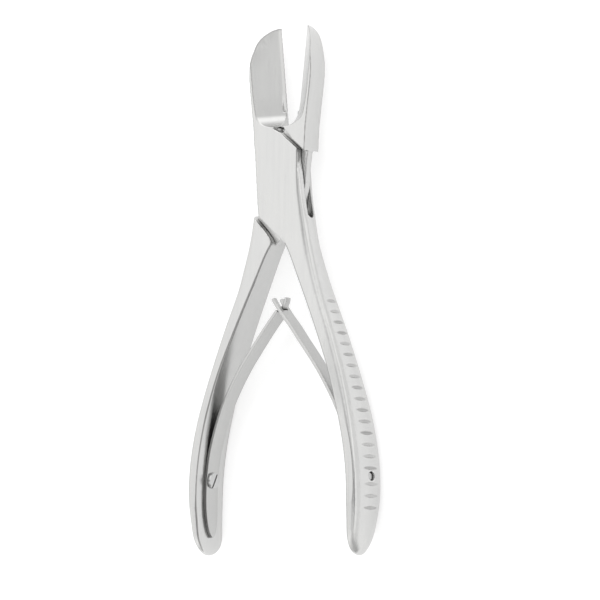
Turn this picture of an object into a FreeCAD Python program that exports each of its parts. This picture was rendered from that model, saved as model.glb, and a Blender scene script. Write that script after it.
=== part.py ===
import FreeCAD, Part
import math
import os

# Box-lock bone cutting forceps, 190 mm long, two forged arms on one flush pin, with double leaf springs.
# The pieces are drawn in the tool's own frame: the pivot axis is Z through X = Y = 0, the blades point to +Y, the
# handles to -Y and the mid-plane is Z = 0. Every piece then gets the same Placement, which puts the origin at the
# bottom centre of the resting tool. All is drawn open, as the relaxed springs hold it.

V3 = FreeCAD.Vector
doc = FreeCAD.newDocument("bone_cutting_forceps")

# ---------------------------------------------------------------- driving dimensions (mm, degrees)
sheet = doc.addObject("Spreadsheet::Sheet", "dims")
DIMS = [
    ("total_length", 190.0),       # blade tips to handle ends
    ("tip_reach", 55.1),           # pivot to blade tips
    ("half_open_angle", 6.2),      # each cutting edge to the centre line
    ("box_thickness", 8.0),
    ("slot_end_reach", 18.0),      # the round lower end of the slot, measured from the pivot's axis
    ("slot_height", 2.9),          # slot through the box
    ("tongue_thickness", 2.8),     # tongue of the male arm
    ("handle_width", 14.8),        # widest across the handles, also the resting height
    ("pin_radius", 2.6),
    ("pin_bore_radius", 2.6),      # in the plates, pressed
    ("tongue_bore_radius", 2.65),  # in the tongue, running fit
    ("edge_land", 1.0),            # height of the secondary bevel at the cutting edge
    ("facet_slope", 0.84),         # rise over run of the blade's ground face
    ("hollow_radius", 100.0),      # gentle hollow above the wheel's round
    ("hollow_turn", 5.5),          # and the angle it turns through
    ("wheel_radius", 6.2),         # round of the wheel at that face's lower end
    ("wheel_station", 24.2),       # where that round starts, from the pivot along the edge
    ("leaf_thickness", 1.2),
    ("leaf_width", 6.2),
    ("leaf_hole_radius", 1.7),
    ("fork_gap", 2.8),             # between the prongs of the right leaf's fork
    ("spring_tongue_width", 2.3),  # end of the left leaf, which passes through the fork
    ("spring_screw_station", 107.85),
    ("screw_head_radius", 2.85),
    ("screw_head_height", 1.1),
    ("screw_shank_radius", 1.55),
    ("screw_hole_radius", 1.6),
    ("screw_end_recess", 1.0),     # its end stands this far below the ridges' tops
    ("screw_slot_width", 0.7),
    ("screw_slot_depth", 0.6),
    ("ridge_pitch", 4.17),
    ("ridge_radius", 0.85),
    ("ridge_depth", 0.62),
    ("ridge_count", 16),           # above the spring screw
    ("ridge_count_low", 3),        # below it
]
for row, (alias, value) in enumerate(DIMS, start=1):
    sheet.set("A%d" % row, alias.replace("_", " "))
    sheet.set("B%d" % row, "%g" % value)
    sheet.setAlias("B%d" % row, alias)
doc.recompute()
D = {alias: float(sheet.get(alias)) for alias, _ in DIMS}

HALF_BOX = D["box_thickness"] / 2.0
THETA = math.radians(D["half_open_angle"])
HANDLE_END = D["tip_reach"] - D["total_length"]          # Y of the handle ends
SHIFT = V3(0.0, -(D["tip_reach"] + HANDLE_END) / 2.0, D["handle_width"] / 2.0)
PLACE = FreeCAD.Placement(SHIFT, FreeCAD.Rotation())


def rot(p, deg):
    a = math.radians(deg)
    return (p[0] * math.cos(a) - p[1] * math.sin(a), p[0] * math.sin(a) + p[1] * math.cos(a))


def lerp_table(table, y):
    """Smooth (Catmull-Rom) reading of a table of (y, value), y falling."""
    n = len(table)
    for i in range(n - 1):
        y0, y1 = table[i][0], table[i + 1][0]
        if y0 >= y >= y1:
            t = (y - y0) / (y1 - y0)
            v0, v1 = table[i][1], table[i + 1][1]
            if i > 0:
                m0 = (v1 - table[i - 1][1]) / (y1 - table[i - 1][0]) * (y1 - y0)
            else:
                m0 = v1 - v0
            if i < n - 2:
                m1 = (table[i + 2][1] - v0) / (table[i + 2][0] - y0) * (y1 - y0)
            else:
                m1 = v1 - v0
            a = 2 * t ** 3 - 3 * t ** 2 + 1
            b = t ** 3 - 2 * t ** 2 + t
            c = -2 * t ** 3 + 3 * t ** 2
            d = t ** 3 - t ** 2
            return a * v0 + b * m0 + c * v1 + d * m1
    return table[0][1] if y > table[0][0] else table[-1][1]


# ---------------------------------------------------------------- handle curves, both arms, |X| against Y
INNER = [(9.0, 4.0), (2.0, 3.0), (-5.0, 2.2), (-12.0, 1.6), (-18.0, 1.4), (-22.0, 1.9), (-26.0, 4.2), (-33.0, 7.9),
         (-40.0, 11.4), (-47.0, 14.9), (-54.0, 18.3), (-61.0, 21.6), (-68.0, 24.7), (-75.0, 27.3), (-82.0, 29.5),
         (-89.0, 31.5), (-96.0, 33.1), (-103.0, 34.2), (-110.0, 34.8), (-117.0, 34.85), (-124.0, 34.5),
         (-128.0, 34.2), (-134.9, 33.6)]
OUTER_F = [(9.0, 7.9), (2.0, 8.5), (-5.0, 9.2), (-12.0, 10.1), (-18.0, 11.1), (-22.0, 11.8), (-26.0, 12.8),
           (-33.0, 15.1), (-40.0, 17.7), (-47.0, 20.6), (-54.0, 23.6), (-61.0, 26.4), (-68.0, 29.05), (-75.0, 31.5),
           (-82.0, 33.65), (-89.0, 35.5), (-96.0, 36.9), (-103.0, 37.9), (-110.0, 38.4), (-117.0, 38.3),
           (-124.0, 37.5), (-128.0, 36.8), (-134.9, 35.4)]
OUTER_M = [(-10.0, 11.0), (-14.0, 11.5), (-18.0, 12.1), (-22.0, 12.8), (-26.0, 13.7), (-33.0, 15.6)] + OUTER_F[8:]
FACE_W = [(9.0, 8.0), (-18.0, 8.0), (-22.0, 8.1), (-26.0, 8.8), (-33.0, 9.6), (-40.0, 10.3), (-47.0, 11.1),
          (-54.0, 11.9), (-61.0, 12.8), (-68.0, 13.6), (-75.0, 14.3), (-82.0, 14.8), (-89.0, 15.1), (-96.0, 15.3),
          (-103.0, 15.35), (-110.0, 15.3), (-117.0, 14.8), (-124.0, 13.4), (-128.0, 12.2), (-134.9, 9.5)]
BACK_W = [(9.0, 8.0), (-18.0, 8.0), (-22.0, 8.0), (-26.0, 8.2), (-33.0, 8.9), (-40.0, 9.7), (-47.0, 10.4),
          (-54.0, 11.05), (-61.0, 11.6), (-68.0, 12.2), (-75.0, 12.9), (-82.0, 13.8), (-89.0, 14.6), (-96.0, 15.1),
          (-103.0, 15.25), (-110.0, 15.2), (-117.0, 14.7), (-124.0, 13.3), (-128.0, 12.1), (-134.9, 9.4)]
CROWN = [(9.0, 0.7), (2.0, 0.9), (-5.0, 1.2), (-12.0, 1.6), (-18.0, 1.9), (-26.0, 2.15), (-40.0, 2.25),
         (-54.0, 2.3), (-82.0, 2.4), (-110.0, 2.4), (-124.0, 2.25), (-128.0, 2.1), (-134.9, 1.7)]


END_M = [(9.0, 1.0), (-112.0, 1.0), (-118.0, 1.01), (-124.0, 1.04), (-128.0, 1.10), (-134.9, 1.30)]


def section_values(y, outer):
    """Inner X, outer-edge X, inner width, outer width and crown height of a handle at station y, ends rounded."""
    xi, xo = lerp_table(INNER, y), lerp_table(outer, y)
    w, v, b = lerp_table(FACE_W, y), lerp_table(BACK_W, y), lerp_table(CROWN, y)
    if outer is OUTER_M:                         # the left handle's end is left fuller
        w *= lerp_table(END_M, y)
        v *= lerp_table(END_M, y)
    yt = HANDLE_END + 3.0
    if y < yt:                                   # the end is rounded in plan over the last 3 mm
        s = math.sqrt(max(0.0, 1.0 - ((yt - y) / 3.0) ** 2))
        s = max(s, 0.14)
        mid = 0.5 * (xi + xo + b)
        half = 0.5 * (xo + b - xi) * s
        b *= s
        xi, xo = mid - half, mid + half - b
    yw = HANDLE_END + 7.4
    if y < yw:                                   # and across its width over the last 7.4 mm
        s = max(math.sqrt(max(0.0, 1.0 - ((yw - y) / 7.5) ** 2)), 0.16)
        w *= s
        v *= s
    return xi, xo, w, v, b


def corner(p, a, c, r):
    """A small round at corner p between the neighbours a and c: start, middle and end points."""
    def along(q):
        d = math.hypot(q[0] - p[0], q[1] - p[1])
        t = min(r, 0.35 * d) / d
        return (p[0] + (q[0] - p[0]) * t, p[1] + (q[1] - p[1]) * t)
    s, e = along(a), along(c)
    m = (0.29 * (s[0] + e[0]) + 0.42 * p[0], 0.29 * (s[1] + e[1]) + 0.42 * p[1])
    return s, m, e


def handle_profile(y, outer, side):
    """Edges of a handle's section in the plane of constant Y, as 2-D (X, Z) lines and arcs."""
    xi, xo, w, v, b = section_values(y, outer)
    A, B, C, Dd, E = (xi, w / 2), (xo, v / 2), (xo + b, 0.0), (xo, -v / 2), (xi, -w / 2)
    # crown arc through B, C, D
    hv = v / 2.0
    R = (hv * hv + b * b) / (2 * b)
    cx = xo + b - R
    phi = math.asin(min(1.0, hv / R))
    ro, ri = min(1.0, 0.3 * (xo - xi)), min(0.55, 0.2 * (xo - xi))
    dphi = ro / R
    b1 = (cx + R * math.cos(phi - dphi), R * math.sin(phi - dphi))
    d1 = (b1[0], -b1[1])
    a_s, a_m, a_e = corner(A, E, B, ri)
    b_s, b_m, _ = corner(B, A, b1, ro)
    b_m = (0.29 * (b_s[0] + b1[0]) + 0.42 * B[0], 0.29 * (b_s[1] + b1[1]) + 0.42 * B[1])
    d_e = (b_s[0], -b_s[1])
    d_m = (b_m[0], -b_m[1])
    e_s, e_m, e_e = (a_e[0], -a_e[1]), (a_m[0], -a_m[1]), (a_s[0], -a_s[1])
    items = [("l", e_e, a_s), ("a", a_s, a_m, a_e), ("l", a_e, b_s), ("a", b_s, b_m, b1), ("a", b1, C, d1),
             ("a", d1, d_m, d_e), ("l", d_e, e_s), ("a", e_s, e_m, e_e)]
    out = []
    for it in items:
        pts = [V3(side * p[0], p[1], 0) for p in it[1:]]
        out.append(Part.LineSegment(pts[0], pts[1]) if it[0] == "l" else Part.Arc(pts[0], pts[1], pts[2]))
    return out


def plane_of(body, role):
    for f in body.Origin.OriginFeatures:
        if f.Role == role:
            return f
    raise RuntimeError(role)


def sketch(body, name, role, geometry, offset=None):
    sk = body.newObject("Sketcher::SketchObject", name)
    sk.AttachmentSupport = [(plane_of(body, role), "")]
    sk.MapMode = "FlatFace"
    if offset is not None:
        sk.AttachmentOffset = offset
    for g in geometry:
        sk.addGeometry(g, False)
    return sk


def closed(points):
    """Straight-sided closed outline."""
    pts = [V3(p[0], p[1], 0) for p in points]
    return [Part.LineSegment(pts[i], pts[(i + 1) % len(pts)]) for i in range(len(pts))]


def spline(points):
    c = Part.BSplineCurve()
    c.interpolate([V3(p[0], p[1], 0) for p in points])
    return c


def chain(parts):
    """Closed outline from runs of points: ("s", pts) is one spline, ("l", pts) straight lines; runs share ends."""
    geo = []
    for kind, pts in parts:
        if kind == "s":
            geo.append(spline(pts))
        else:
            for p, q in zip(pts, pts[1:]):
                geo.append(Part.LineSegment(V3(p[0], p[1], 0), V3(q[0], q[1], 0)))
    return geo


def pad(body, sk, name, expr):
    f = body.newObject("PartDesign::Pad", name)
    f.Profile = (sk, [""])
    f.Midplane = True
    f.setExpression("Length", expr)
    return f


def pocket(body, sk, name, expr):
    f = body.newObject("PartDesign::Pocket", name)
    f.Profile = (sk, [""])
    f.Midplane = True
    f.setExpression("Length", expr)
    return f


def loft(body, name, stations, outer, side):
    sks = []
    for i, y in enumerate(stations):
        off = FreeCAD.Placement(V3(0, 0, -y), FreeCAD.Rotation())
        sks.append(sketch(body, "%s_%02d" % (name, i), "XZ_Plane", handle_profile(y, outer, side), off))
    f = body.newObject("PartDesign::AdditiveLoft", name)
    f.Profile = (sks[0], [""])
    f.Sections = [(s, [""]) for s in sks[1:]]
    f.Ruled = False
    return f


END_STATIONS = [-128.0, -130.2, -131.9, -133.2, -134.1, -134.6, -134.9]
BASE_STATIONS = [-26.0, -33.0, -40.0, -47.0, -54.0, -61.0, -68.0, -75.0, -82.0, -89.0, -96.0, -103.0, -110.0,
                 -117.0, -124.0] + END_STATIONS

# ---------------------------------------------------------------- blade plan, |X| against Y (open pose)
TIP = (D["tip_reach"] * math.tan(THETA), D["tip_reach"])
BLADE_SIDE = [(7.4, 54.75), (8.7, 54.05), (10.3, 52.7), (11.7, 51.0), (12.55, 49.3), (13.15, 47.4), (13.75, 44.8),
              (14.25, 42.2), (14.5, 39.2), (14.45, 35.8), (14.1, 32.1), (13.6, 28.4), (13.1, 24.7), (12.65, 21.0),
              (12.2, 17.4)]


def edge_x(y):
    return y * math.tan(THETA)


def mirror(pts):
    return [(-p[0], p[1]) for p in pts]


EDGE_SET = 0.02      # the closed cutting edges stop just short of each other

# ================================================================ female arm
female_body = doc.addObject("PartDesign::Body", "female_forging")
left_side = mirror(BLADE_SIDE)
left_tip = (-TIP[0] - EDGE_SET, TIP[1])
box_left = [(-12.2, 17.4), (-12.0, 13.5), (-11.5, 9.8), (-10.95, 2.8), (-10.4, -4.5), (-9.9, -10.5), (-9.4, -13.9)]
outline_f = chain([
    ("s", [left_tip] + left_side),
    ("s", box_left),
    ("l", [(-9.4, -13.9), (-8.7, -14.5), (-2.2, -19.95), (0.45, -21.95), (2.1, -23.6), (2.8, -24.3), (8.0, -24.0)]),
    ("l", [(8.0, -24.0), (8.4, 9.35)]),
    ("l", [(8.4, 9.35), (5.4, 11.75), (0.2, 15.75), (-2.85, 17.3), (-edge_x(18.4) - EDGE_SET, 18.4)]),
    ("l", [(-edge_x(18.4) - EDGE_SET, 18.4), left_tip]),
])
sk = sketch(female_body, "box_and_blade_outline", "XY_Plane", outline_f)
pad(female_body, sk, "box_and_blade", "dims.box_thickness")
loft(female_body, "right_handle", [9.0, 2.0, -5.0, -12.0, -18.0, -22.0] + BASE_STATIONS, OUTER_F, 1)
doc.recompute()

# crowned left side of the box
cheek = []
for i, (y, x, b) in enumerate([(16.0, 12.0, 0.25), (9.0, 11.4, 0.55), (2.0, 10.85, 0.8), (-6.0, 10.25, 0.9),
                               (-14.5, 9.55, 0.9)]):
    pts = [V3(-4.0, HALF_BOX, 0), V3(-x + 0.25, HALF_BOX, 0), V3(-x - b, 0, 0), V3(-x + 0.25, -HALF_BOX, 0),
           V3(-4.0, -HALF_BOX, 0)]
    geo = [Part.LineSegment(pts[0], pts[1]), Part.Arc(pts[1], pts[2], pts[3]), Part.LineSegment(pts[3], pts[4]),
           Part.LineSegment(pts[4], pts[0])]
    cheek.append(sketch(female_body, "left_cheek_%d" % i, "XZ_Plane", geo,
                        FreeCAD.Placement(V3(0, 0, -y), FreeCAD.Rotation())))
f = female_body.newObject("PartDesign::AdditiveLoft", "left_cheek")
f.Profile = (cheek[0], [""])
f.Sections = [(s, [""]) for s in cheek[1:]]
doc.recompute()

# the plates end at the two slanting shoulders
sk = sketch(female_body, "upper_shoulder_outline", "XY_Plane",
            closed([(-2.85, 17.3), (0.2, 15.75), (5.4, 11.75), (9.2, 8.7), (16.0, 3.25), (16.0, 17.3)]))
pocket(female_body, sk, "upper_shoulder", "dims.box_thickness * 2")
sk = sketch(female_body, "lower_shoulder_outline", "XY_Plane",
            closed([(-18.0, -6.7), (-9.4, -13.9), (-8.7, -14.5), (-2.2, -19.95), (0.45, -21.95), (2.1, -23.6),
                    (2.45, -24.0), (-18.0, -24.0)]))
pocket(female_body, sk, "lower_shoulder", "dims.box_thickness * 2")

# slot for the tongue, open to both sides of the box, with a web at its upper left and one at its lower right
slot = [(-16.0, 7.2), (-10.6, 11.2), (-3.6, 16.6), (-3.2, 18.25), (18.0, 18.25), (18.0, -13.85), (12.6, -13.85),
        (10.6, -16.4), (2.9, -24.0), (-1.0, -26.5), (-16.0, -26.5)]
sk = sketch(female_body, "slot_outline", "XY_Plane", closed(slot))
pocket(female_body, sk, "slot", "dims.slot_height")
# its lower end at the box's right side is drilled round
sk = sketch(female_body, "slot_end_outline", "YZ_Plane",
            closed([(-13.85 - 1.45 * math.sin(math.radians(a)), 1.45 * math.cos(math.radians(a)))
                    for a in range(0, 181, 15)]))
pocket(female_body, sk, "slot_end", "dims.slot_end_reach * 2")

# the handles' flat side faces, on which the tool lies
for name, sgn in (("front_flat", 1.0), ("back_flat", -1.0)):
    off = FreeCAD.Placement(V3(0, 0, 0), FreeCAD.Rotation())
    sk = sketch(female_body, name + "_outline", "XY_Plane", closed([(25, -60), (50, -60), (50, -136), (25, -136)]), off)
    sk.setExpression("AttachmentOffset.Base.z", "%d * (dims.handle_width / 2 + 2)" % int(sgn))
    f = female_body.newObject("PartDesign::Pocket", name)
    f.Profile = (sk, [""])
    f.Midplane = True
    f.Length = 4.0
doc.recompute()


# ---------------------------------------------------------------- ridges on the handles' outer side
def ridge_centres(outer, side):
    """Circles that graze the crown of a handle, one every pitch along it, none over the spring screw."""
    pts = []
    y = -45.3
    above, below = int(D["ridge_count"]), int(D["ridge_count_low"])
    while len(pts) < above + below:
        if len(pts) == above:
            y = -110.2
        x = lerp_table(outer, y) + lerp_table(CROWN, y)
        dx = (lerp_table(outer, y - 0.5) + lerp_table(CROWN, y - 0.5)) - (lerp_table(outer, y + 0.5) + lerp_table(CROWN, y + 0.5))
        n = V3(1.0, dx, 0.0)            # outward normal: the curve runs along (dx, -1)
        n.normalize()
        r, h = D["ridge_radius"], D["ridge_depth"]
        c = V3(x, y, 0) + n * (r - h)
        pts.append((side * c.x, c.y))
        y -= D["ridge_pitch"] / math.hypot(1.0, dx)
    return pts


def ridges(body, outer, side):
    geo = [Part.Circle(V3(c[0], c[1], 0), V3(0, 0, 1), D["ridge_radius"]) for c in ridge_centres(outer, side)]
    sk = sketch(body, "ridge_outline", "XY_Plane", geo)
    pocket(body, sk, "ridges", "dims.handle_width * 2")


ridges(female_body, OUTER_F, 1)
doc.recompute()


def round_hole(body, name, role, centre, radius_alias, length_expr, offset=None):
    sk = sketch(body, name + "_circle", role, [Part.Circle(V3(centre[0], centre[1], 0), V3(0, 0, 1), 1.0)], offset)
    import Sketcher
    i = sk.addConstraint(Sketcher.Constraint("Radius", 0, 1.0))
    sk.renameConstraint(i, "hole_radius")
    sk.setExpression("Constraints.hole_radius", "dims." + radius_alias)
    return pocket(body, sk, name, length_expr)


round_hole(female_body, "pin_bore", "XY_Plane", (0, 0), "pin_bore_radius", "dims.box_thickness * 2")


# the spring screws stand square to the handle's inner face at their station
YS = -D["spring_screw_station"]
XS = lerp_table(INNER, YS)
slope = (lerp_table(INNER, YS - 1.0) - lerp_table(INNER, YS + 1.0)) / 2.0   # dX per mm towards -Y
SCREW_DIR = math.degrees(math.atan2(slope, 1.0))                            # tilt of the outward normal, right handle


def screw_plane(side):
    """Placement whose Z axis is the outward normal of the handle's inner face at the screw, its origin on the face."""
    n = V3(side * 1.0, slope, 0)
    n.normalize()
    zax, yax = n, V3(0, 0, 1)
    xax = yax.cross(zax)
    m = FreeCAD.Matrix(xax.x, yax.x, zax.x, side * XS, xax.y, yax.y, zax.y, YS, xax.z, yax.z, zax.z, 0, 0, 0, 0, 1)
    return FreeCAD.Placement(m)


def screw_hole(body, side):
    """Bore through the handle: a circle on a plane square to the screw."""
    sk = body.newObject("Sketcher::SketchObject", "screw_hole_circle")
    sk.AttachmentSupport = [(plane_of(body, "XY_Plane"), "")]
    sk.MapMode = "FlatFace"
    sk.AttachmentOffset = screw_plane(side)
    sk.addGeometry(Part.Circle(V3(0, 0, 0), V3(0, 0, 1), 1.0), False)
    import Sketcher
    i = sk.addConstraint(Sketcher.Constraint("Radius", 0, 1.0))
    sk.renameConstraint(i, "hole_radius")
    sk.setExpression("Constraints.hole_radius", "dims.screw_hole_radius")
    return pocket(body, sk, "screw_hole", "30")


screw_hole(female_body, 1)
doc.recompute()

# ================================================================ male arm
male_body = doc.addObject("PartDesign::Body", "male_forging")
loft(male_body, "left_handle", [-10.0, -14.0, -18.0, -22.0] + BASE_STATIONS, OUTER_M, -1)
# its front and back end at the shoulder below the box; only the tongue goes on
sk = sketch(male_body, "handle_shoulder_outline", "XY_Plane",
            closed([(-16.0, -10.25), (-10.6, -15.2), (-6.6, -19.15), (-4.15, -21.85), (-3.25, -23.4), (-3.3, -24.8),
                    (4.0, -24.8), (4.0, -5.0), (-16.0, -5.0)]))
pocket(male_body, sk, "handle_shoulder", "dims.box_thickness * 2")

right_tip = (TIP[0] + EDGE_SET, TIP[1])
outline_m = chain([
    ("s", [right_tip] + BLADE_SIDE),
    ("s", [(12.2, 17.4), (11.95, 13.0), (11.75, 8.45)]),
    ("l", [(11.75, 8.45), (6.1, 12.95), (1.5, 17.85), (edge_x(18.3) + EDGE_SET, 18.3), right_tip]),
])
sk = sketch(male_body, "blade_outline", "XY_Plane", outline_m)
pad(male_body, sk, "blade", "dims.box_thickness")

tongue = [(1.5, 17.85), (11.75, 9.5), (11.2, 7.4), (10.6, 3.2), (10.4, -2.6), (9.95, -5.3), (9.3, -9.2), (8.75, -12.6),
          (8.1, -14.9), (0.2, -21.6), (-3.2, -24.3), (-3.7, -25.0), (-9.0, -25.0), (-11.8, -17.5), (-11.6, -14.8), (-10.5, -9.5),
          (-10.1, -3.0), (-9.9, 4.0), (-9.2, 8.2), (-7.4, 10.9), (0.6, 17.2)]
sk = sketch(male_body, "tongue_outline", "XY_Plane", closed(tongue))
pad(male_body, sk, "tongue", "dims.tongue_thickness")
doc.recompute()
for name, sgn in (("front_flat", 1.0), ("back_flat", -1.0)):
    sk = sketch(male_body, "male_" + name + "_outline", "XY_Plane",
                closed([(-25, -60), (-50, -60), (-50, -136), (-25, -136)]), FreeCAD.Placement())
    sk.setExpression("AttachmentOffset.Base.z", "%d * (dims.handle_width / 2 + 2)" % int(sgn))
    f = male_body.newObject("PartDesign::Pocket", "male_" + name)
    f.Profile = (sk, [""])
    f.Midplane = True
    f.Length = 4.0
ridges(male_body, OUTER_M, -1)
round_hole(male_body, "tongue_bore", "XY_Plane", (0, 0), "tongue_bore_radius", "dims.box_thickness * 2")
screw_hole(male_body, -1)
doc.recompute()


# ---------------------------------------------------------------- ground faces of the blades
def facet_tool(side):
    """What the wheel takes off a blade's front: the sloping face down to the edge, with a coved lower end."""
    ct, st = math.cos(THETA), math.sin(THETA)
    u = V3(side * st, ct, 0)                 # along the cutting edge, to the tip
    w = V3(side * ct, -st, 0)                # square to it, away from the centre line
    up = V3(0, 0, 1)
    land, k = D["edge_land"], D["facet_slope"]
    # sloping face: prism of its section, its lower end the round of the wheel
    sec = [(land, -HALF_BOX + land), (18.0, -HALF_BOX + land + k * (18.0 - land)), (18.0, 16.0), (-4.0, 16.0),
           (-4.0, -HALF_BOX + land)]
    pts = [w * a + up * b + u * 8.0 for a, b in sec]
    main = Part.Face(Part.makePolygon(pts + [pts[0]])).extrude(u * 60.0)
    phi = math.atan(k)
    s = w * math.cos(phi) + up * math.sin(phi)       # up the slope
    n = up * math.cos(phi) - w * math.sin(phi)       # square to it, outward
    start = w * land + up * (land - HALF_BOX) - s * 12.0
    # towards its lower end the face hollows out gently, then turns up round the wheel
    rad, ut = D["wheel_radius"], D["wheel_station"]
    big, turn = D["hollow_radius"], math.radians(D["hollow_turn"])
    at = lambda a, b: start + u * a + n * b
    meet = (ut - rad * math.sin(turn), big * (1.0 - math.cos(turn)))
    begin = meet[0] + big * math.sin(turn)
    centre = (ut, meet[1] + rad * math.cos(turn))
    soft = lambda t: at(begin - big * math.sin(t), big - big * math.cos(t))
    wheel = lambda t: at(centre[0] - rad * math.sin(t), centre[1] - rad * math.cos(t))
    path = Part.Wire([
        Part.LineSegment(at(70.0, 0), soft(0.0)).toShape(),
        Part.Arc(soft(0.0), soft(turn / 2.0), soft(turn)).toShape(),
        Part.Arc(soft(turn), wheel((turn + math.pi / 2.0) / 2.0), wheel(math.pi / 2.0)).toShape(),
        Part.LineSegment(wheel(math.pi / 2.0), at(ut - rad, 24.0)).toShape(),
        Part.LineSegment(at(ut - rad, 24.0), at(70.0, 24.0)).toShape(),
        Part.LineSegment(at(70.0, 24.0), at(70.0, 0)).toShape()])
    main = main.common(Part.Face(path).extrude(s * 48.0))
    # secondary bevel at the edge; below its heel the wheel's round runs out on the blade's inner face
    wb = D["edge_land"] + 0.1
    sec = [(0.0, -HALF_BOX), (wb, -HALF_BOX + wb), (wb, 16.0), (-4.0, 16.0), (-4.0, -HALF_BOX)]
    pts = [w * a + up * b + u * 24.4 for a, b in sec]
    bevel = Part.Face(Part.makePolygon(pts + [pts[0]])).extrude(u * 60.0)
    return main.fuse(bevel)


def ground(body, side, label):
    tool = doc.addObject("Part::Feature", label + "_wheel_path")
    tool.Shape = facet_tool(side)
    cut = doc.addObject("Part::Cut", label)
    cut.Base = body
    cut.Tool = tool
    cut.Label = label
    cut.Placement = PLACE
    return cut


female = ground(female_body, -1, "female_arm")
male = ground(male_body, 1, "male_arm")
doc.recompute()

# ================================================================ pivot pin
pin = doc.addObject("Part::Cylinder", "pivot_pin")
pin.Label = "pivot_pin"
pin.setExpression("Radius", "dims.pin_radius")
pin.setExpression("Height", "dims.box_thickness")
pin.Placement = FreeCAD.Placement(V3(0, 0, -HALF_BOX) + SHIFT, FreeCAD.Rotation())

# ================================================================ leaf springs
# centre lines of the two bent strips, |X| against Y, tips first; each tip crosses the centre line
LEAF_RIGHT = [(-3.2, -43.6), (-2.05, -45.3), (-0.6, -47.2), (1.35, -49.6), (3.55, -52.0), (6.14, -55.0), (8.53, -58.0),
              (11.05, -61.0), (13.55, -64.0), (15.95, -67.0), (18.25, -70.0), (20.35, -73.0), (22.35, -76.0),
              (24.6, -79.6), (26.6, -83.1), (28.45, -86.7), (30.0, -90.2), (31.3, -93.7), (32.4, -97.3),
              (33.2, -101.0)]
LEAF_LEFT = [(-1.4, -43.2), (-0.75, -45.45), (0.6, -47.3), (2.7, -49.65), (5.0, -52.1), (7.6, -55.0), (10.15, -58.0),
             (12.65, -61.0), (15.1, -64.0), (17.5, -67.0), (19.65, -70.0), (21.65, -73.0), (23.5, -76.0),
             (25.6, -79.6), (27.4, -83.1), (28.85, -86.7), (30.15, -90.2), (31.3, -93.7), (32.4, -97.3), (33.2, -101.0)]
MID = D["leaf_thickness"] / 2.0
# on the handle the leaf lies flat against the inner face
ON_HANDLE = [(lerp_table(INNER, y) - MID - 0.02, y) for y in (-106.0, -109.5, -113.0, -117.0, -121.0, -125.0, -128.6)]
CROSSING = 2            # index of the table point where the strips cross
LEAF = {1: LEAF_RIGHT + ON_HANDLE, -1: LEAF_LEFT + ON_HANDLE}


def leaf_solid(side):
    """The bent strip before its end is shaped: a band of the leaf's thickness, as wide as the leaf."""
    line = LEAF[side]
    n = len(line)
    left, right = [], []
    for i, (x, y) in enumerate(line):
        a, b = line[max(0, i - 1)], line[min(n - 1, i + 1)]
        t = V3(b[0] - a[0], b[1] - a[1], 0)
        t.normalize()
        nx, ny = -t.y, t.x
        left.append((x + nx * MID, y + ny * MID))
        right.append((x - nx * MID, y - ny * MID))
    m = lambda pts: [V3(side * p[0], p[1], 0) for p in pts]
    c1, c2 = Part.BSplineCurve(), Part.BSplineCurve()
    c1.interpolate(m(left))
    c2.interpolate(m(right))
    l1 = Part.LineSegment(m(left)[-1], m(right)[-1])
    l0 = Part.LineSegment(m(right)[0], m(left)[0])
    wire = Part.Wire(Part.__sortEdges__([c1.toShape(), l1.toShape(), c2.toShape(), l0.toShape()]))
    hw = D["leaf_width"] / 2.0
    wire.translate(V3(0, 0, -hw))
    return Part.Face(wire).extrude(V3(0, 0, 2 * hw))


def leaf(side, label, fork):
    body = leaf_solid(side)
    line = LEAF[side]
    hw = D["leaf_width"] / 2.0
    # the end is shaped from a millimetre below the crossing to the tip
    p, q = line[CROSSING], line[CROSSING + 1]
    t = V3(side * (p[0] - q[0]), p[1] - q[1], 0)     # towards the tip
    t.normalize()
    root = V3(side * p[0], p[1], 0) - t * 1.05
    nrm = V3(-t.y, t.x, 0)

    def block(z0, z1):
        o = root - nrm * 6.0
        pts = [o, o + t * 12.0, o + t * 12.0 + nrm * 12.0, o + nrm * 12.0]
        f = Part.Face(Part.makePolygon(pts + [pts[0]]))
        f.translate(V3(0, 0, z0))
        return f.extrude(V3(0, 0, z1 - z0))
    if fork:
        # a notch between two prongs
        body = body.cut(block(-D["fork_gap"] / 2.0, D["fork_gap"] / 2.0))
    else:
        # shoulders cut back beside a tongue
        w = D["spring_tongue_width"] / 2.0
        body = body.cut(block(w, hw + 1)).cut(block(-hw - 1, -w))
    # rounded foot
    foot = V3(side * line[-1][0], line[-1][1], 0)
    ft = V3(side * (line[-1][0] - line[-2][0]), line[-1][1] - line[-2][1], 0)
    ft.normalize()
    fn = V3(-ft.y, ft.x, 0)
    half = [(13.0, hw), (10.0, hw - 0.08), (7.5, hw - 0.24), (5.0, hw - 0.62), (3.2, hw - 1.02), (1.9, hw - 1.45),
            (0.9, hw - 2.0), (0.3, hw - 2.55), (0.0, 0.0)]

    def flat(pts):
        v = [foot - ft * a + V3(0, 0, b) - fn * 5.0 for a, b in pts]
        return Part.Face(Part.makePolygon(v + [v[0]])).extrude(fn * 10.0)
    keep = flat(half + [(a, -b) for a, b in half[-2::-1]])
    body = body.cut(flat([(13.0, hw + 2), (-3.0, hw + 2), (-3.0, -hw - 2), (13.0, -hw - 2)]).cut(keep))
    # screw hole
    pl = screw_plane(side)
    axis = pl.Rotation.multVec(V3(0, 0, 1))
    hole = Part.makeCylinder(D["leaf_hole_radius"], 12.0, pl.Base - axis * 6.0, axis)
    body = body.cut(hole)
    obj = doc.addObject("Part::Feature", label)
    obj.Shape = body
    obj.Label = label
    obj.Placement = PLACE
    return obj


left_leaf = leaf(-1, "left_leaf_spring", False)
right_leaf = leaf(1, "right_leaf_spring", True)


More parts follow.
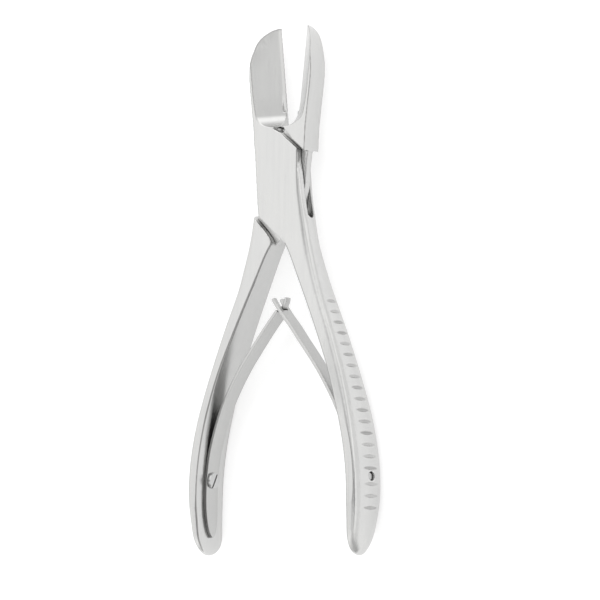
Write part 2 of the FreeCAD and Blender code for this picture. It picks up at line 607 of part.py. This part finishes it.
# ================================================================ spring screws
def screw(side, label):
    """Revolved screw: head on the leaf, shank through the handle, end cut off just inside the handle's outer face."""
    body = doc.addObject("PartDesign::Body", label)
    body.Label = label
    rh, hh, rs = D["screw_head_radius"], D["screw_head_height"], D["screw_shank_radius"]
    reach = (lerp_table(OUTER_F, YS) + lerp_table(CROWN, YS)) - XS - D["screw_end_recess"]
    z0 = -D["leaf_thickness"] - 0.12                   # underside of the head
    pts = [(0, z0 - hh), (rh - 0.35, z0 - hh), (rh, z0 - hh + 0.35), (rh, z0), (rs, z0), (rs, reach - 0.3),
           (rs - 0.3, reach), (0, reach)]
    sk = sketch(body, label + "_section", "XZ_Plane", closed(pts))
    rev = body.newObject("PartDesign::Revolution", label + "_turned")
    rev.Profile = (sk, [""])
    rev.ReferenceAxis = (sk, ["V_Axis"])
    rev.Angle = 360.0
    doc.recompute()
    ws = D["screw_slot_width"] / 2.0
    sk2 = sketch(body, label + "_slot_outline", "XY_Plane", closed([(-9, -ws), (9, -ws), (9, ws), (-9, ws)]),
                 FreeCAD.Placement(V3(0, 0, z0 - hh), FreeCAD.Rotation(V3(0, 0, 1), 23.0)))
    p = body.newObject("PartDesign::Pocket", label + "_slot")
    p.Profile = (sk2, [""])
    p.Midplane = True
    p.setExpression("Length", "dims.screw_slot_depth * 2")
    body.Placement = FreeCAD.Placement(SHIFT, FreeCAD.Rotation()).multiply(screw_plane(side))
    return body


left_screw = screw(-1, "left_spring_screw")
right_screw = screw(1, "right_spring_screw")
doc.recompute()

# ================================================================ checks and export
parts = {"female_arm": female, "male_arm": male, "pivot_pin": pin, "left_leaf_spring": left_leaf,
         "right_leaf_spring": right_leaf, "left_spring_screw": left_screw, "right_spring_screw": right_screw}
bad = [o.Name for o in doc.Objects if any(s in ("Invalid", "Error") for s in o.State)]
if bad:
    raise RuntimeError("failed objects: %s" % bad)
os.makedirs("parts", exist_ok=True)
box = FreeCAD.BoundBox()
for node, obj in parts.items():
    shape = obj.Shape
    if shape.isNull() or not shape.isValid():
        raise RuntimeError("bad shape: " + node)
    if len(shape.Solids) != 1:
        raise RuntimeError("%s has %d solids" % (node, len(shape.Solids)))
    box.add(shape.BoundBox)
    print("%-20s volume %8.1f mm3  box %s" % (node, shape.Volume, shape.BoundBox))
print("whole", box)
for node, obj in parts.items():
    obj.Shape.exportStep("parts/%s.step" % node)
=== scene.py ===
import math
import bpy
import bmesh
import numpy as np
from mathutils import Matrix, Vector


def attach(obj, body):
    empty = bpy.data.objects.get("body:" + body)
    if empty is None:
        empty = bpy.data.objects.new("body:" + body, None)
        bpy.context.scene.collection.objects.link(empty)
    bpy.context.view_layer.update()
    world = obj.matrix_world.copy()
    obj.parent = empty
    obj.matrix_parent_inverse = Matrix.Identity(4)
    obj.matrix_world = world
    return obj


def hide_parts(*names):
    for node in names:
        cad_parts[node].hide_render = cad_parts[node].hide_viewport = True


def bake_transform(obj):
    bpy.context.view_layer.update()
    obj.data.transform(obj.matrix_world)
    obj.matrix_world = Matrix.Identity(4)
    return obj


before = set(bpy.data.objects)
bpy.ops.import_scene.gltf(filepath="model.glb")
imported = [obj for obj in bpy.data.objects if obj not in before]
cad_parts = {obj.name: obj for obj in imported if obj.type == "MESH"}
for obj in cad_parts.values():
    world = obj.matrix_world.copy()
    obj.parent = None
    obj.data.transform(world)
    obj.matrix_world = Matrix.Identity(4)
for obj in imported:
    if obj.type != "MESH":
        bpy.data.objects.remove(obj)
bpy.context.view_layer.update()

scene = bpy.context.scene

# the pivot axis stands at this place in the row frame; the tool lies flat, blades to +Y
PIVOT = Vector((0.0, 0.0399, 0.0074))

# ------------------------------------------------------------------ camera: the photograph's view of the front face
CAM_AZ = math.radians(40.28)      # to the right of the front face's normal
CAM_EL = math.radians(4.98)       # towards the handles
CAM_ROLL = math.radians(0.52)
CAM_DIST = 1.200
CAM_F = 2814.5                    # pixels per metre at the target, 600 px frame
CAM_TARGET = Vector((0.007126, -0.044405, 0.0)) + PIVOT


def make_camera():
    a, e, ro = CAM_AZ, CAM_EL, CAM_ROLL
    d = Vector((math.sin(a) * math.cos(e), -math.sin(e), math.cos(a) * math.cos(e)))
    r = Vector((math.cos(a), 0.0, -math.sin(a)))
    u = r.cross(d) * -1.0
    u = d.cross(r)
    if u.y < 0:
        u = -u
    r2 = r * math.cos(ro) + u * math.sin(ro)
    u2 = r * -math.sin(ro) + u * math.cos(ro)
    cam_data = bpy.data.cameras.new("camera")
    cam_data.sensor_fit = "HORIZONTAL"
    cam_data.sensor_width = 36.0
    cam_data.lens = CAM_F * CAM_DIST / 600.0 * 36.0
    cam_data.clip_start, cam_data.clip_end = 0.05, 20.0
    cam = bpy.data.objects.new("camera", cam_data)
    scene.collection.objects.link(cam)
    m = Matrix.Identity(4)
    for i in range(3):
        m[i][0], m[i][1], m[i][2] = r2[i], u2[i], d[i]
    m.translation = CAM_TARGET + d * CAM_DIST
    cam.matrix_world = m
    scene.camera = cam
    return cam


cam = make_camera()

# ------------------------------------------------------------------ materials


def new_material(name):
    m = bpy.data.materials.new(name)
    m.use_nodes = True
    nt = m.node_tree
    nt.nodes.clear()
    out = nt.nodes.new("ShaderNodeOutputMaterial")
    bsdf = nt.nodes.new("ShaderNodeBsdfPrincipled")
    nt.links.new(bsdf.outputs["BSDF"], out.inputs["Surface"])
    return m, nt, bsdf


def noise(nt, vec, scale, detail=3.0, rough=0.5):
    n = nt.nodes.new("ShaderNodeTexNoise")
    n.inputs["Scale"].default_value = scale
    n.inputs["Detail"].default_value = detail
    n.inputs["Roughness"].default_value = rough
    nt.links.new(vec, n.inputs["Vector"])
    return n.outputs["Fac"]


def stretched(nt, scale, turn=0.0):
    """Object coordinates squeezed so that a noise on them runs in lines along Y."""
    co = nt.nodes.new("ShaderNodeTexCoord")
    mp = nt.nodes.new("ShaderNodeMapping")
    mp.inputs["Scale"].default_value = scale
    mp.inputs["Rotation"].default_value = (0.0, 0.0, turn)
    nt.links.new(co.outputs["Object"], mp.inputs["Vector"])
    return mp.outputs["Vector"]


def math_node(nt, op, a, b=None, clamp=False):
    n = nt.nodes.new("ShaderNodeMath")
    n.operation = op
    n.use_clamp = clamp
    for i, v in enumerate((a, b)):
        if v is None:
            continue
        if isinstance(v, (int, float)):
            n.inputs[i].default_value = v
        else:
            nt.links.new(v, n.inputs[i])
    return n.outputs[0]


def map_range(nt, v, f0, f1, t0, t1):
    n = nt.nodes.new("ShaderNodeMapRange")
    n.clamp = True
    nt.links.new(v, n.inputs["Value"])
    for k, x in (("From Min", f0), ("From Max", f1), ("To Min", t0), ("To Max", t1)):
        n.inputs[k].default_value = x
    return n.outputs["Result"]


def attribute(nt, name):
    n = nt.nodes.new("ShaderNodeAttribute")
    n.attribute_name = name
    return n.outputs["Fac"]


def mix_colour(nt, fac, a, b, blend="MIX"):
    n = nt.nodes.new("ShaderNodeMix")
    n.data_type = "RGBA"
    n.blend_type = blend
    for key, v in (("A", a), ("B", b)):
        if isinstance(v, tuple):
            n.inputs[key].default_value = v
        else:
            nt.links.new(v, n.inputs[key])
    if isinstance(fac, float):
        n.inputs["Factor"].default_value = fac
    else:
        nt.links.new(fac, n.inputs["Factor"])
    return n.outputs["Result"]


def steel(name, base, rough, grain=0.05, turn=0.0, wear=0.5, ao_shade_weight=0.75):
    """Brushed satin steel: fine lines along the piece, cloudy polish, brighter worn edges, rougher recesses, and
    painted shade that darkens the colour in occluded places, concave places and along painted lines.
    """
    m, nt, bsdf = new_material(name)
    bsdf.inputs["Metallic"].default_value = 1.0
    lines = stretched(nt, (1.0, 0.035, 1.0), turn)
    even = stretched(nt, (1.0, 1.0, 1.0))
    fine = noise(nt, lines, 5200.0, 2.0, 0.6)          # brush lines, a few to the millimetre
    broad = noise(nt, lines, 900.0, 3.0, 0.5)
    scratch = map_range(nt, noise(nt, stretched(nt, (1.0, 0.012, 1.0), turn + 0.22), 1500.0, 1.0, 0.4), 0.70, 0.76, 0.0, 1.0)
    cloud = noise(nt, even, 60.0, 3.0, 0.55)           # patches of a centimetre or two
    speck = noise(nt, even, 2600.0, 2.0, 0.5)
    worn_at = math_node(nt, "MULTIPLY", attribute(nt, "edge_wear"), map_range(nt, cloud, 0.35, 0.65, 0.55, 1.0))
    recess_shade = attribute(nt, "recess_shade")
    # painted shade: ambient occlusion darkens the colour in gaps, in corners and between parts, and raises roughness a
    # little
    ao = nt.nodes.new("ShaderNodeAmbientOcclusion")
    ao.samples = 6
    ao.inputs["Distance"].default_value = 0.0024
    shade = map_range(nt, ao.outputs["AO"], 0.10, 0.62, 1.0, 0.0)
    dull_and_shade = math_node(nt, "MAXIMUM", math_node(nt, "MULTIPLY", shade, ao_shade_weight), math_node(nt, "MULTIPLY", recess_shade, 0.62))
    # roughness: brushing, cloudy patches, polished edges, rougher recesses and occluded places
    r = math_node(nt, "MULTIPLY_ADD", fine, 0.08)
    r.node.inputs[2].default_value = rough - 0.04
    r2 = math_node(nt, "MULTIPLY_ADD", cloud, 0.06)
    nt.links.new(r, r2.node.inputs[2])
    r3 = math_node(nt, "MULTIPLY_ADD", worn_at, -0.06 * wear)
    nt.links.new(r2, r3.node.inputs[2])
    r4 = math_node(nt, "MULTIPLY_ADD", dull_and_shade, 0.10, clamp=True)
    nt.links.new(math_node(nt, "SUBTRACT", r3, 0.03), r4.node.inputs[2])
    nt.links.new(r4, bsdf.inputs["Roughness"])
    # colour
    t2 = math_node(nt, "MULTIPLY", cloud, 0.10)
    tone = math_node(nt, "MULTIPLY_ADD", broad, 0.10)
    nt.links.new(t2, tone.node.inputs[2])
    lo = (base[0] * 0.955, base[1] * 0.955, base[2] * 0.96, 1)
    hi = (base[0] * 1.035, base[1] * 1.035, base[2] * 1.03, 1)
    col = mix_colour(nt, map_range(nt, tone, 0.05, 0.15, 0.0, 1.0), lo, hi)
    col = mix_colour(nt, math_node(nt, "MULTIPLY", scratch, 0.35), col, (base[0] * 0.86, base[1] * 0.86, base[2] * 0.86, 1))
    col = mix_colour(nt, math_node(nt, "MULTIPLY", worn_at, wear), col,
                     (min(1, base[0] * 1.30), min(1, base[1] * 1.30), min(1, base[2] * 1.30), 1))
    # painted shade: occluded places, concave places, painted edge lines and painted gap shadows are mixed towards a
    # near-black colour
    col = mix_colour(nt, dull_and_shade, col, (base[0] * 0.16, base[1] * 0.155, base[2] * 0.15, 1))
    nt.links.new(col, bsdf.inputs["Base Color"])
    # bump
    h = math_node(nt, "MULTIPLY_ADD", speck, 0.25)
    nt.links.new(fine, h.node.inputs[2])
    b = nt.nodes.new("ShaderNodeBump")
    b.inputs["Strength"].default_value = grain
    b.inputs["Distance"].default_value = 0.00004
    nt.links.new(h, b.inputs["Height"])
    nt.links.new(b.outputs["Normal"], bsdf.inputs["Normal"])
    return m


mat_body = steel("satin_steel_body", (0.60, 0.60, 0.595), 0.25, grain=0.06)
mat_spring = steel("spring_steel_leaf", (0.52, 0.52, 0.515), 0.23, grain=0.05, turn=-0.45, wear=0.4)
mat_screw = steel("screw_steel_head", (0.55, 0.55, 0.55), 0.20, grain=0.04, wear=0.5, ao_shade_weight=0.8)

# ------------------------------------------------------------------ pieces: the machined solids, edges broken by polishing


def spread(values, edges, count, rounds):
    for _ in range(rounds):
        acc = np.bincount(edges[:, 0], values[edges[:, 1]], count) + np.bincount(edges[:, 1], values[edges[:, 0]], count)
        values = 0.5 * values + 0.5 * acc / np.maximum(degree(edges, count), 1)
    return values


def degree(edges, count):
    return np.bincount(edges[:, 0], minlength=count) + np.bincount(edges[:, 1], minlength=count)


def edge_attributes(me, size, painted_shade_fn=None):
    """Where the surface turns a convex or a concave corner, as two numbers at each point; the concave number darkens
    the colour as painted shade and raises roughness, and the optional function adds painted dark lines and shadows.
    """
    n = len(me.vertices)
    co = np.empty(n * 3, np.float32)
    me.vertices.foreach_get("co", co)
    co = co.reshape(-1, 3).astype(float)
    no = np.empty(n * 3, np.float32)
    me.vertex_normals.foreach_get("vector", no)
    no = no.reshape(-1, 3)
    e = np.empty(len(me.edges) * 2, np.int32)
    me.edges.foreach_get("vertices", e)
    e = e.reshape(-1, 2)
    deg = np.maximum(degree(e, n), 1)
    k = np.zeros(n)
    for i in range(3):
        acc = np.bincount(e[:, 0], co[e[:, 1], i], n) + np.bincount(e[:, 1], co[e[:, 0], i], n)
        k += (co[:, i] - acc / deg) * no[:, i]
    k = spread(k / size, e, n, 3)
    # painted shade: concave places get a number that darkens their colour and raises their roughness
    hollow_shade = np.clip(-k / 0.055 - 0.10, 0, 1)
    wear = np.clip(k / 0.10 - 0.15, 0, 1)
    # painted dark lines and shadows from the given function are added here, and those places lose their worn
    # brightening
    if painted_shade_fn is not None:
        dull_and_shade = np.clip(1.8 * spread(painted_shade_fn(co, no, wear), e, n, 4), 0, 1)
        hollow_shade = np.maximum(hollow_shade, dull_and_shade)
        wear *= 1.0 - np.clip(dull_and_shade * 2.0, 0, 1)
    for key, v in (("edge_wear", wear), ("recess_shade", hollow_shade)):
        at = me.attributes.new(key, "FLOAT", "POINT")
        at.data.foreach_set("value", v.astype(np.float32))


def polished(name, nodes, voxel, rounds, material, painted_shade_fn=None, keep=1.0):
    """A node's solid as a fine skin, its sharp corners rounded as polishing leaves them."""
    bm = bmesh.new()
    for n in nodes:
        bm.from_mesh(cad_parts[n].data)
    bmesh.ops.remove_doubles(bm, verts=bm.verts, dist=1e-6)
    raw = bpy.data.meshes.new(name + "_raw")
    bm.to_mesh(raw)
    bm.free()
    ob = bpy.data.objects.new(name, raw)
    scene.collection.objects.link(ob)
    skin = ob.modifiers.new("skin", "REMESH")
    skin.mode = "VOXEL"
    skin.voxel_size = voxel
    polish = ob.modifiers.new("polish", "SMOOTH")
    polish.factor = 0.5
    polish.iterations = rounds
    me = bpy.data.meshes.new_from_object(ob.evaluated_get(bpy.context.evaluated_depsgraph_get()))
    ob.modifiers.clear()
    ob.data = me
    bpy.data.meshes.remove(raw)
    me.name = name
    me.polygons.foreach_set("use_smooth", [True] * len(me.polygons))
    edge_attributes(me, voxel, painted_shade_fn)
    if keep < 1.0:
        thin = ob.modifiers.new("thin", "DECIMATE")
        thin.ratio = keep
        light = bpy.data.meshes.new_from_object(ob.evaluated_get(bpy.context.evaluated_depsgraph_get()))
        ob.modifiers.clear()
        ob.data = light
        bpy.data.meshes.remove(me)
        me = light
        me.name = name
        me.polygons.foreach_set("use_smooth", [True] * len(me.polygons))
    me.materials.clear()
    me.materials.append(material)
    return ob


def painted_edge_lines(co, no, edge):
    """Painted dark reflection along the forgings' long edges whose faces lean towards the camera's direction, where the
    metal would mirror the dark opening above; drawn darker than the faces.
    """
    lean = 0.64 * np.abs(no[:, 0]) + 0.766 * np.abs(no[:, 2])
    return 0.80 * np.clip(edge * 3.0, 0, 1) * np.clip((lean - 0.84) / 0.10, 0, 1)


def painted_leaf_gap_shadow(co, no, edge):
    """The leaf's long sides where it lies on the handle: painted shadow of the narrow gap there, stronger towards the
    foot.
    """
    y = co[:, 1] * 1000.0 - PIVOT.y * 1000.0
    along = np.clip((-92.0 - y) / 12.0, 0, 1)
    return 0.48 * along * np.clip((np.abs(no[:, 2]) - 0.35) / 0.4, 0, 1)


# painted dark reflection lines along both forgings' edges
female = polished("forging_female", ["female_arm", "pivot_pin"], 0.0002, 7, mat_body, painted_shade_fn=painted_edge_lines, keep=0.36)
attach(female, "box_arm")
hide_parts("female_arm")

male = polished("forging_male", ["male_arm"], 0.0002, 7, mat_body, painted_shade_fn=painted_edge_lines, keep=0.38)
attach(male, "tongue_arm")
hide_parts("male_arm")

for side, own, other, node in ((1, "box_arm", "tongue_arm", "right_leaf_spring"),
                               (-1, "tongue_arm", "box_arm", "left_leaf_spring")):
    # painted shadow of the gap where each leaf lies on its handle
    leaf = polished(node.replace("_spring", ""), [node], 0.00013, 5, mat_spring, painted_shade_fn=painted_leaf_gap_shadow)
    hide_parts(node)
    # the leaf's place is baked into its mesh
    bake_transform(leaf)

for node, body in (("right_spring_screw", "box_arm"), ("left_spring_screw", "tongue_arm")):
    screw = polished(node.replace("_spring", "_slotted"), [node], 0.00008, 4, mat_screw)
    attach(screw, body)
    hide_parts(node)


def pin():
    """The rivet's shank, turned, its ends just under the ground faces."""
    r, top, n = 0.0026, 0.00396, 96
    prof = [(0.0, -top), (r - 0.0003, -top), (r, -top + 0.0003), (r, top - 0.0003), (r - 0.0003, top), (0.0, top)]
    bm = bmesh.new()
    rings = []
    for rad, z in prof:
        if rad == 0.0:
            rings.append([bm.verts.new((0, 0, z))])
        else:
            rings.append([bm.verts.new((rad * math.cos(2 * math.pi * i / n), rad * math.sin(2 * math.pi * i / n), z))
                          for i in range(n)])
    for lo, hi in zip(rings, rings[1:]):
        for i in range(n):
            j = (i + 1) % n
            if len(lo) == 1:
                bm.faces.new((lo[0], hi[j], hi[i]))
            elif len(hi) == 1:
                bm.faces.new((lo[i], lo[j], hi[0]))
            else:
                bm.faces.new((lo[i], lo[j], hi[j], hi[i]))
    me = bpy.data.meshes.new("rivet")
    bm.to_mesh(me)
    bm.free()
    me.transform(Matrix.Translation(PIVOT))
    me.polygons.foreach_set("use_smooth", [True] * len(me.polygons))
    me.materials.append(mat_body)
    ob = bpy.data.objects.new("rivet", me)
    scene.collection.objects.link(ob)
    return ob


rivet = pin()
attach(rivet, "box_arm")
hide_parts("pivot_pin")

for group, mat in ((("female_arm", "male_arm", "pivot_pin"), mat_body),
                   (("left_leaf_spring", "right_leaf_spring"), mat_spring),
                   (("left_spring_screw", "right_spring_screw"), mat_screw)):
    for n in group:
        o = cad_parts[n]
        o.data.materials.clear()
        o.data.materials.append(mat)

# ------------------------------------------------------------------ floor, world and lights


def make_floor():
    me = bpy.data.meshes.new("floor")
    s = 3.0
    me.from_pydata([(-s, -s, -0.0005), (s, -s, -0.0005), (s, s, -0.0005), (-s, s, -0.0005)], [], [(0, 1, 2, 3)])
    o = bpy.data.objects.new("floor", me)
    scene.collection.objects.link(o)
    m, nt, bsdf = new_material("floor_white")
    bsdf.inputs["Base Color"].default_value = (0.52, 0.52, 0.52, 1)
    bsdf.inputs["Roughness"].default_value = 0.9
    bsdf.inputs["Emission Color"].default_value = (1, 1, 1, 1)
    bsdf.inputs["Emission Strength"].default_value = 0.64      # a light table under the white sheet
    o.data.materials.append(m)
    return o


floor = make_floor()

world = bpy.data.worlds.new("studio")
scene.world = world
world.use_nodes = True
wn = world.node_tree
wn.nodes.clear()
wo = wn.nodes.new("ShaderNodeOutputWorld")
wb = wn.nodes.new("ShaderNodeBackground")
wn.links.new(wb.outputs["Background"], wo.inputs["Surface"])
wb.inputs["Color"].default_value = (1.0, 0.999, 0.995, 1)
wco = wn.nodes.new("ShaderNodeTexCoord")

# a white light tent: even all round, a little less from straight above, with the dark opening that one shoots through
TENT = 1.34
PATCHES = [  # direction, half angle where it has faded out, half angle of its flat middle, change of brightness
    ((0.644, -0.087, 0.760), 20.0, 6.0, -0.95),    # the opening
    ((0.26, 0.05, 0.96), 40.0, 8.0, -0.22),        # above
    ((-0.05, 0.06, 1.00), 30.0, 8.0, -0.50),
    ((-0.62, 0.10, 0.78), 38.0, 10.0, -0.23),      # left panel
    ((0.10, -0.96, 0.25), 60.0, 14.0, -0.70),      # near end
    ((-0.10, 0.90, 0.42), 42.0, 14.0, 0.30),       # far end panel
    ((0.565, 0.475, 0.674), 14.0, 5.0, -0.48),        # beside the opening
    ((0.93, 0.05, 0.30), 30.0, 8.0, 0.10),         # right panel
]
total = None
for v, outer, inner, gain in PATCHES:
    vm = wn.nodes.new("ShaderNodeVectorMath")
    vm.operation = "DOT_PRODUCT"
    wn.links.new(wco.outputs["Generated"], vm.inputs[0])
    vm.inputs[1].default_value = Vector(v).normalized()
    mr = wn.nodes.new("ShaderNodeMapRange")
    mr.interpolation_type = "SMOOTHSTEP"
    wn.links.new(vm.outputs["Value"], mr.inputs["Value"])
    for key, x in (("From Min", math.cos(math.radians(outer))), ("From Max", math.cos(math.radians(inner))),
                   ("To Min", 0.0), ("To Max", gain)):
        mr.inputs[key].default_value = x
    total = math_node(wn, "ADD", mr.outputs["Result"], TENT if total is None else total)
# the tent's foot is dimmer than its walls
vz = wn.nodes.new("ShaderNodeSeparateXYZ")
wn.links.new(wco.outputs["Generated"], vz.inputs[0])
low = map_range(wn, vz.outputs["Z"], 0.02, 0.36, 0.62, 1.0)
low.node.interpolation_type = "SMOOTHSTEP"
wn.links.new(math_node(wn, "MULTIPLY", total, low), wb.inputs["Strength"])


def area(name, loc, target, size, power, size_y=None):
    d = bpy.data.lights.new(name, "AREA")
    d.energy = power
    d.shape = "RECTANGLE"
    d.size = size
    d.size_y = size_y or size
    o = bpy.data.objects.new(name, d)
    scene.collection.objects.link(o)
    o.location = loc
    v = Vector(target) - Vector(loc)
    o.rotation_euler = v.to_track_quat("-Z", "Y").to_euler()
    return o


area("soft_key", PIVOT + Vector((-0.75, 0.35, 1.25)), PIVOT + Vector((0, -0.04, 0)), 0.9, 0.5, 0.9)

scene.view_settings.view_transform = "Standard"
scene.view_settings.look = "None"
